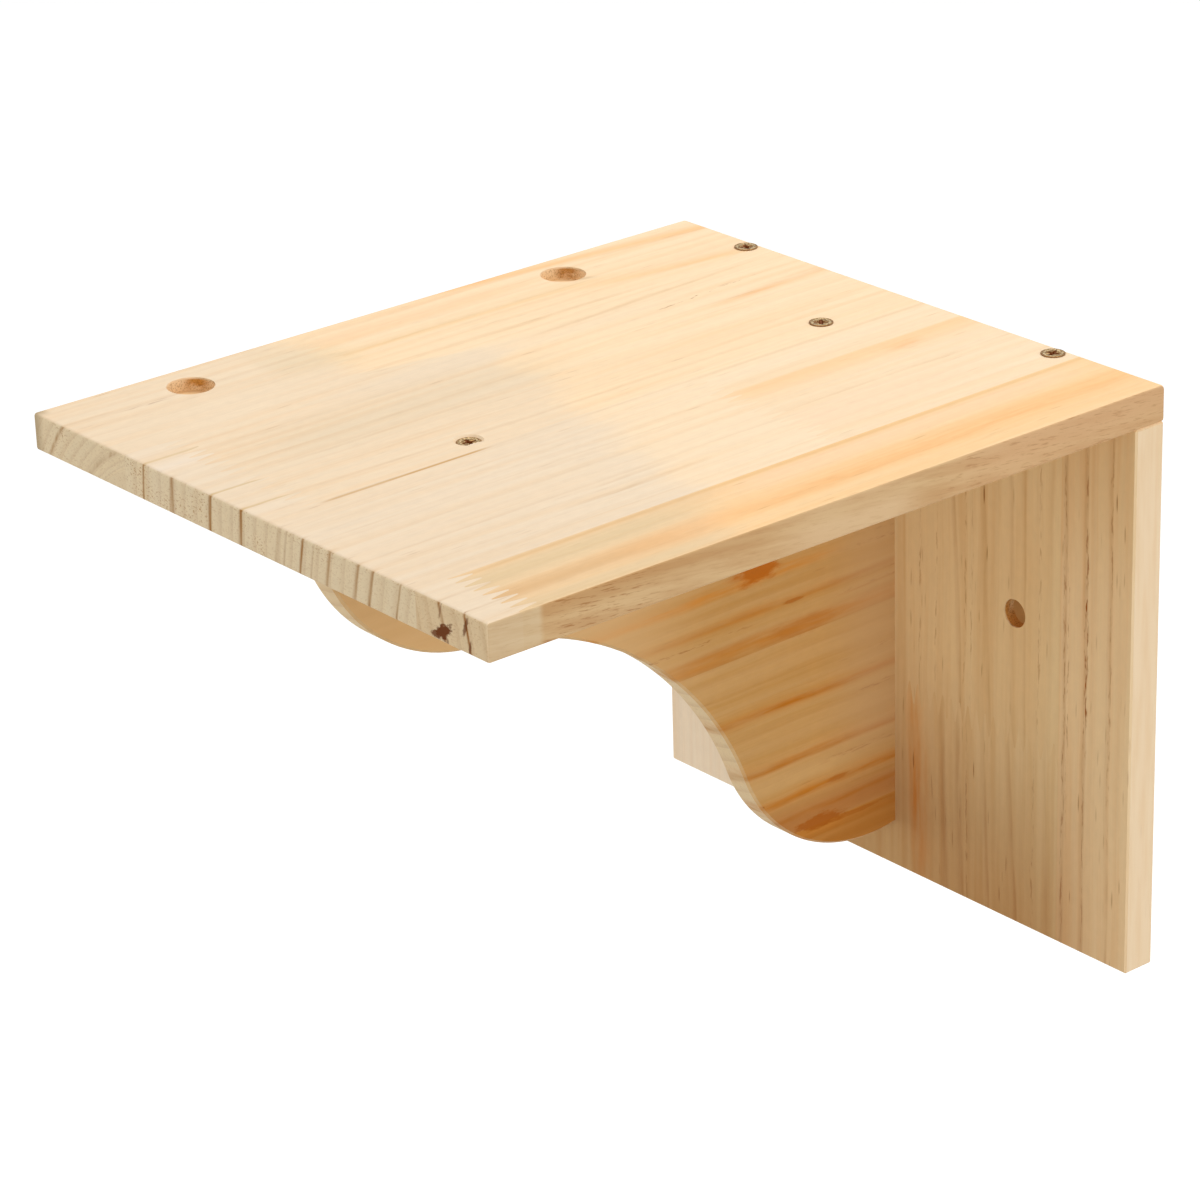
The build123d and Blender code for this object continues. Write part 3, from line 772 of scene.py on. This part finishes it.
def add_screw(mesh, place, axis, turn):
    """One screw: its head's face at a place, its point along the axis."""
    across = Vector((1, 0, 0))
    other = Vector(axis).cross(across)

    def corner(radius, angle, level):
        offset = across * math.cos(angle) * radius + other * math.sin(angle) * radius
        return mesh.verts.new((Vector(place) + offset - Vector(axis) * level) * MM)

    def face_level(radius, angle):
        u = radius * math.cos(angle - turn)
        v = radius * math.sin(angle - turn)
        return FACE_LEVEL - recess_depth(u, v)

    angles = [2 * math.pi * i / SCREW_SIDES for i in range(SCREW_SIDES)]
    middle = corner(0.0, 0.0, face_level(0.0, 0.0))
    rings = []
    for step in range(1, FACE_RINGS + 1):
        radius = FACE_STEP * step
        rings.append([corner(radius, a, face_level(radius, a)) for a in angles])
    for radius, level in screw_rings():
        ridge = THREAD_RIDGE * min(1.0, (level + SCREW_LENGTH) / 5.0) if level < THREAD_TOP else 0.0
        ring = []
        for a in angles:
            phase = (level / THREAD_PITCH - a / (2 * math.pi)) % 1.0
            crest = max(0.0, 1.0 - abs(phase - 0.5) / 0.3)
            ring.append(corner(radius + ridge * crest, a, level))
        rings.append(ring)
    tip = corner(0.0, 0.0, -SCREW_LENGTH)
    for i in range(SCREW_SIDES):
        j = (i + 1) % SCREW_SIDES
        mesh.faces.new((middle, rings[0][i], rings[0][j]))
        mesh.faces.new((tip, rings[-1][j], rings[-1][i]))
        for inner, outer in zip(rings, rings[1:]):
            mesh.faces.new((inner[i], outer[i], outer[j], inner[j]))


def screw_metal(name, heads, rear=False):
    """Bronzed steel: mottled lacquer, dark in the recess, with wear and painted highlights along
    the rim, and painted shade on the outer rim and under it.
    """
    material, s = new_material(name)
    x, y, z = s.millimetres()
    flat, level = ((x, z), y) if rear else ((x, y), z)
    far = 99.0
    away, below = far, far
    for place in heads:
        centre = (place[0], place[2]) if rear else (place[0], place[1])
        top = place[1] if rear else place[2]
        near = s.length(s.add(flat[0], -centre[0]), s.add(flat[1], -centre[1]))
        elsewhere = s.rise(near, 5.0, 5.2, 0.0, far)
        drop = s.math("ABSOLUTE", s.add(level, -top))
        away = s.math("MINIMUM", away, near)
        below = s.math("MINIMUM", below, s.add(drop, elsewhere))
    stain = s.noise((x, 1.6), (y, 1.6), (z, 1.6), detail=4, roughness=0.65)
    colour = s.mix(s.rise(stain, 0.42, 0.60), srgb(118, 82, 40), srgb(194, 158, 102))
    # Wear and painted highlights: cream patches on a ring inside the rim
    wear_and_highlight = s.times(s.rise(away, 2.3, 2.6), s.fall(away, 3.1, 3.3))
    wear_and_highlight_patches = s.rise(stain, 0.43, 0.58, 0.10, 0.85)
    colour = s.mix(s.times(wear_and_highlight, wear_and_highlight_patches), colour, srgb(236, 212, 164))
    # Painted shade on the outer rim, where its bevel faces away
    colour = s.mix(s.rise(away, 3.5, 3.75, 0.0, 0.8), colour, srgb(152, 104, 50))
    pit = s.times(s.rise(below, 0.14, 0.34), s.fall(away, 2.4, 2.7))
    colour = s.mix(pit, colour, srgb(140, 76, 22))
    # Painted shadow on the side of the head under its rim
    under = s.times(s.rise(below, 0.10, 0.25), s.rise(away, 3.0, 3.3))
    colour = s.mix(under, colour, srgb(150, 98, 46))
    rough = s.rise(stain, 0.3, 0.7, 0.48, 0.36)
    metallic = s.rise(s.math("MAXIMUM", pit, under), 0.0, 1.0, 0.85, 0.2)
    surface = s.node("ShaderNodeBsdfPrincipled", Base_Color=colour, Roughness=rough,
                     Metallic=metallic)
    s.node("ShaderNodeOutputMaterial", Surface=surface.outputs[0])
    return material


def new_piece(name, build, material):
    """An object made of a finished mesh, which moves with the part."""
    bmesh.ops.recalc_face_normals(build, faces=build.faces)
    mesh = bpy.data.meshes.new(name)
    build.to_mesh(mesh)
    build.free()
    mesh.materials.append(material)
    piece = bpy.data.objects.new(name, mesh)
    bpy.context.collection.objects.link(piece)
    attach(piece, "root")
    return piece


def drive_screws(node, heads, turns, rear=False):
    build = bmesh.new()
    axis = (0, -1, 0) if rear else (0, 0, -1)
    for place, turn in zip(heads, turns):
        add_screw(build, place, axis, math.radians(turn))
    group = new_piece("detailed_" + node, build, screw_metal("bronzed_" + node, heads, rear))
    mesh = group.data
    mesh.polygons.foreach_set("use_smooth", [True] * len(mesh.polygons))
    mesh.set_sharp_from_angle(angle=math.radians(SMOOTH_ANGLE))
    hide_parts(node)


drive_screws("shelf_to_back_screws", ((-74.0, -5.5, 88.4), (68.0, -5.5, 88.4)), (20, 68))
drive_screws("shelf_to_bracket_screws", ((-2.5, -37.5, 88.4), (0.0, -181.0, 87.5)), (42, 8))
drive_screws("back_to_bracket_screws", ((-1.0, -0.5, 38.0), (-1.0, -0.5, -52.0)), (30, 75), True)


# Torn flake of wood over the edge of the sunk screw: its outline on the shelf in mm
LIP_OUTLINE = (
    (3.6, -184.4), (3.2, -183.9), (3.5, -183.3), (3.0, -182.8), (3.3, -182.2), (2.9, -181.6),
    (3.4, -181.0), (3.1, -180.4), (3.6, -179.9), (3.5, -179.2), (3.9, -178.6), (4.6, -178.2),
    (5.1, -179.6), (5.3, -181.4), (5.0, -183.2), (4.4, -184.2),
)
LIP_TOP = 88.03
LIP_THICKNESS = 0.34
LIP_BULGE = 0.12


def lay_lip():
    build = bmesh.new()
    middle = Vector((sum(p[0] for p in LIP_OUTLINE), sum(p[1] for p in LIP_OUTLINE)))
    middle = middle / len(LIP_OUTLINE)
    loops = []
    for bulge, below in ((0.0, 0.0), (LIP_BULGE, LIP_THICKNESS / 2), (0.0, LIP_THICKNESS)):
        level = LIP_TOP - below
        loop = []
        for place in LIP_OUTLINE:
            spot = Vector(place) + (Vector(place) - middle).normalized() * bulge
            loop.append(build.verts.new((spot.x * MM, spot.y * MM, level * MM)))
        loops.append(loop)
    count = len(LIP_OUTLINE)
    for upper, lower in zip(loops, loops[1:]):
        for i in range(count):
            j = (i + 1) % count
            build.faces.new((upper[i], upper[j], lower[j], lower[i]))
    build.faces.new(loops[0])
    build.faces.new(loops[-1])
    bmesh.ops.triangulate(build, faces=[f for f in build.faces if len(f.verts) > 4])
    flake = new_piece("torn_lip", build, shelf_pine("lip", CREAM))


lay_lip()

# Camera, light and floor


def aim_camera():
    """The photograph's viewpoint: from the right, above, 1.5 m away with a long lens."""
    right = Vector((0.64186, 0.76633, -0.02761))
    forward = Vector((-0.71135, 0.58159, -0.39464)).normalized()
    up = right.cross(forward).normalized()
    right = forward.cross(up)
    data = bpy.data.cameras.new("camera")
    data.sensor_width = 36.0
    data.lens = 134.167
    data.clip_end = 20
    camera = bpy.data.objects.new("camera", data)
    place = Matrix((right, up, -forward)).transposed().to_4x4()
    place.translation = Vector((978.55, -932.75, 565.84)) * MM
    camera.matrix_world = place
    bpy.context.collection.objects.link(camera)
    bpy.context.scene.camera = camera


def light_world():
    """A white studio: plain white where it is seen, softer from below where it lights."""
    world = bpy.data.worlds.new("studio")
    world.use_nodes = True
    world.node_tree.nodes.clear()
    s = Shader(world.node_tree)
    up = s.split(s.node("ShaderNodeTexCoord").outputs["Generated"])[2]
    level = s.rise(up, -0.5, 0.6, 0.78, 0.84)
    strength = s.rise(s.directly_seen(), 0.0, 1.0, level, 1.0)
    background = s.node("ShaderNodeBackground", Strength=strength)
    s.node("ShaderNodeOutputWorld", Surface=background.outputs[0])
    bpy.context.scene.world = world


def add_lamp(name, place, target, size, watts):
    data = bpy.data.lights.new(name, "AREA")
    data.shape = "RECTANGLE"
    data.size, data.size_y = size
    data.energy = watts
    lamp = bpy.data.objects.new(name, data)
    lamp.location = place
    aim = Vector(target) - Vector(place)
    lamp.rotation_euler = aim.to_track_quat("-Z", "Y").to_euler()
    bpy.context.collection.objects.link(lamp)


def lay_floor():
    """A white floor that keeps the part's shadow and throws back a softer light."""
    material, s = new_material("floor")
    seen = s.directly_seen()
    colour = s.mix(seen, (0.55, 0.54, 0.52), (0.95, 0.95, 0.95))
    plain = s.node("ShaderNodeBsdfDiffuse", Color=colour)
    lift = s.node("ShaderNodeEmission", Strength=s.times(seen, 0.35))
    both = s.node("ShaderNodeAddShader")
    s.put(both.inputs[0], plain.outputs[0])
    s.put(both.inputs[1], lift.outputs[0])
    s.node("ShaderNodeOutputMaterial", Surface=both.outputs[0])
    far = FLOOR_REACH
    corners = [(x, y, FLOOR_LEVEL) for x, y in ((-far, -far), (far, -far), (far, far), (-far, far))]
    mesh = bpy.data.meshes.new("floor")
    mesh.from_pydata(corners, [], [(0, 1, 2, 3)])
    mesh.materials.append(material)
    floor = bpy.data.objects.new("floor", mesh)
    bpy.context.collection.objects.link(floor)


aim_camera()
light_world()
for lamp in LAMPS:
    add_lamp(*lamp)
lay_floor()

view = bpy.context.scene.view_settings
view.view_transform = "Standard"
